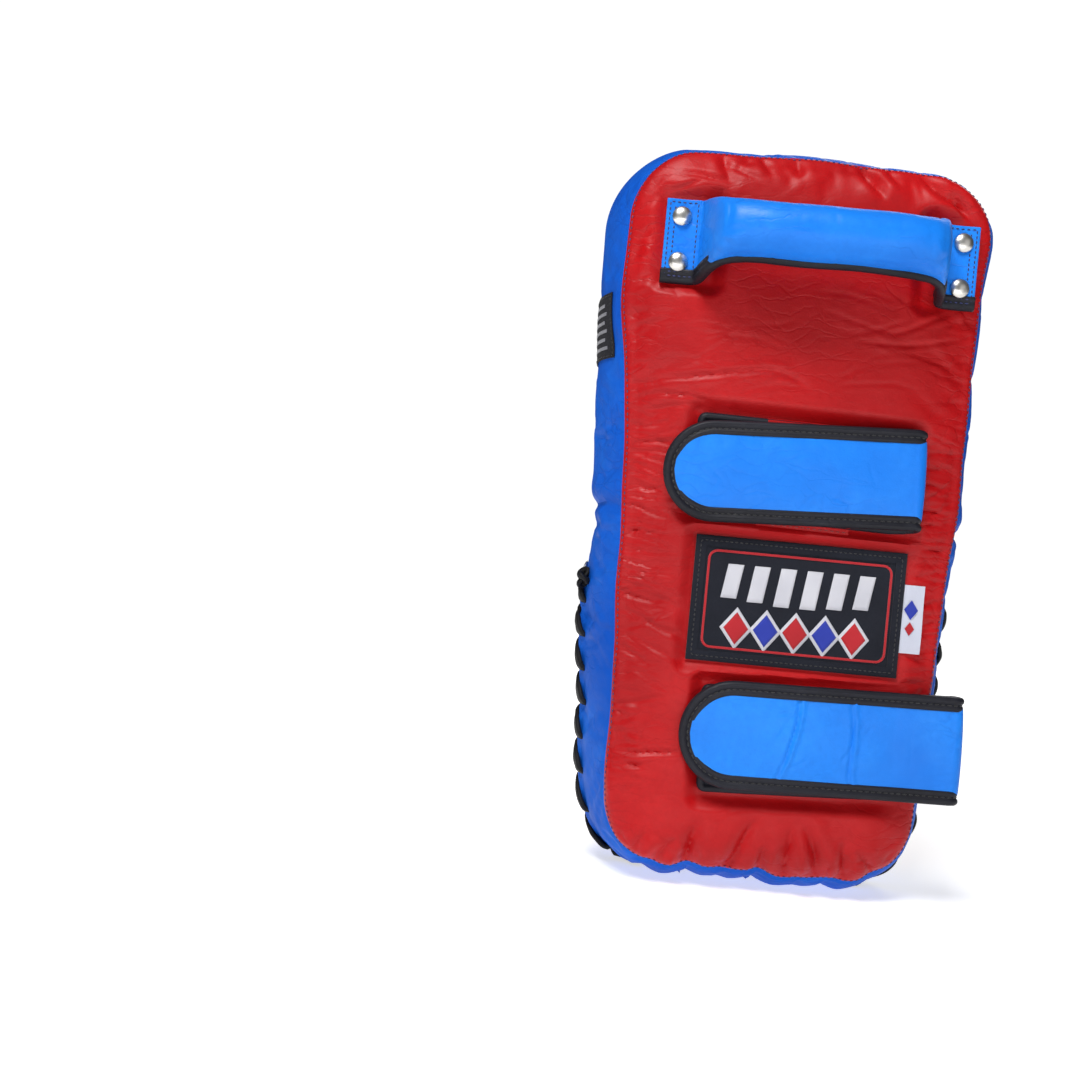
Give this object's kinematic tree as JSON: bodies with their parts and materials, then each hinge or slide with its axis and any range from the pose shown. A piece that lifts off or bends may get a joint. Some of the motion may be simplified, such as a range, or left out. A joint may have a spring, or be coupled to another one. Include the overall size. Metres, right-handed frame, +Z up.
{
  "type": "thai pad",
  "caption": "Stuffed leather forearm shield for kick and punch training, with a riveted padded grip, two hook-and-loop forearm straps and a laced side wall.",
  "frame": {"origin": "middle of the whole object's base, grip included, on the floor the pad stands on", "axes": "+Z up along the pad's length with the grip at the top; the back with grip and straps faces -Y, the strike face faces +Y, the laced side with the small label is at -X"},
  "size_m": [0.2119, 0.1516, 0.4],
  "materials": {
    "red_leather": "glossy grained",
    "blue_leather": "satin grained",
    "black_leather": "satin",
    "lace_leather": "matt",
    "backing_leather": "raw",
    "firm_foam": "closed cell foam",
    "soft_foam": "open cell foam",
    "nickel": "polished",
    "rivet_steel": "plain",
    "webbing": "woven",
    "loop_pile": "looped",
    "hook_pile": "hooked",
    "patch_fabric": "woven",
    "tag_fabric": "satin woven",
    "label_fabric": "woven"
  },
  "bodies": {
    "pad": {"front_panel": "red_leather", "back_panel": "red_leather", "gusset_upper": "blue_leather", "gusset_lower_front": "blue_leather", "gusset_lower_back": "blue_leather", "strike_foam": "firm_foam", "core_foam": "firm_foam", "back_foam": "soft_foam", "gusset_lace": "lace_leather", "lace_eyelet": "nickel", "lace_knot": "lace_leather", "handle_tab_left": "blue_leather", "handle_tab_right": "blue_leather", "handle_tab_bindings": "black_leather", "handle_rivet_caps": "nickel", "handle_rivet_posts": "rivet_steel", "handle_rivet_burrs": "rivet_steel", "handle_backings": "backing_leather", "name_patch": "patch_fabric", "side_tag": "tag_fabric", "side_label": "label_fabric", "upper_strap_base": "blue_leather", "upper_strap_base_binding": "black_leather", "upper_strap_keeper": "red_leather", "upper_strap_loop": "loop_pile", "upper_strap_fold": "blue_leather", "lower_strap_base": "blue_leather", "lower_strap_base_binding": "black_leather", "lower_strap_keeper": "red_leather", "lower_strap_loop": "loop_pile", "lower_strap_fold": "blue_leather"},
    "grip": {"handle_grip_cover": "blue_leather", "handle_core": "soft_foam", "handle_webbing": "webbing", "handle_binding": "black_leather"},
    "upper_flap": {"upper_strap_flap": "blue_leather", "upper_strap_flap_binding": "black_leather", "upper_strap_hook": "hook_pile"},
    "lower_flap": {"lower_strap_flap": "blue_leather", "lower_strap_flap_binding": "black_leather", "lower_strap_hook": "hook_pile"}
  },
  "joints": [
    {"name": "grip_flex", "type": "hinge", "parent": "pad", "child": "grip", "pos_m": [0.0055, -0.02725, 0.34], "axis": [1, 0, 0], "range_deg": [-15, 15], "stiffness_Nm_per_rad": 0.6},
    {"name": "upper_strap_open", "type": "hinge", "parent": "pad", "child": "upper_flap", "pos_m": [0.06441, -0.02925, 0.22526], "axis": [-0.0471, 0, 0.9989], "range_deg": [0, 175], "deforming": ["upper_strap_fold"]},
    {"name": "lower_strap_open", "type": "hinge", "parent": "pad", "child": "lower_flap", "pos_m": [0.0966, -0.02925, 0.08641], "axis": [-0.0175, 0, 0.9998], "range_deg": [0, 175], "deforming": ["lower_strap_fold"]}
  ]
}
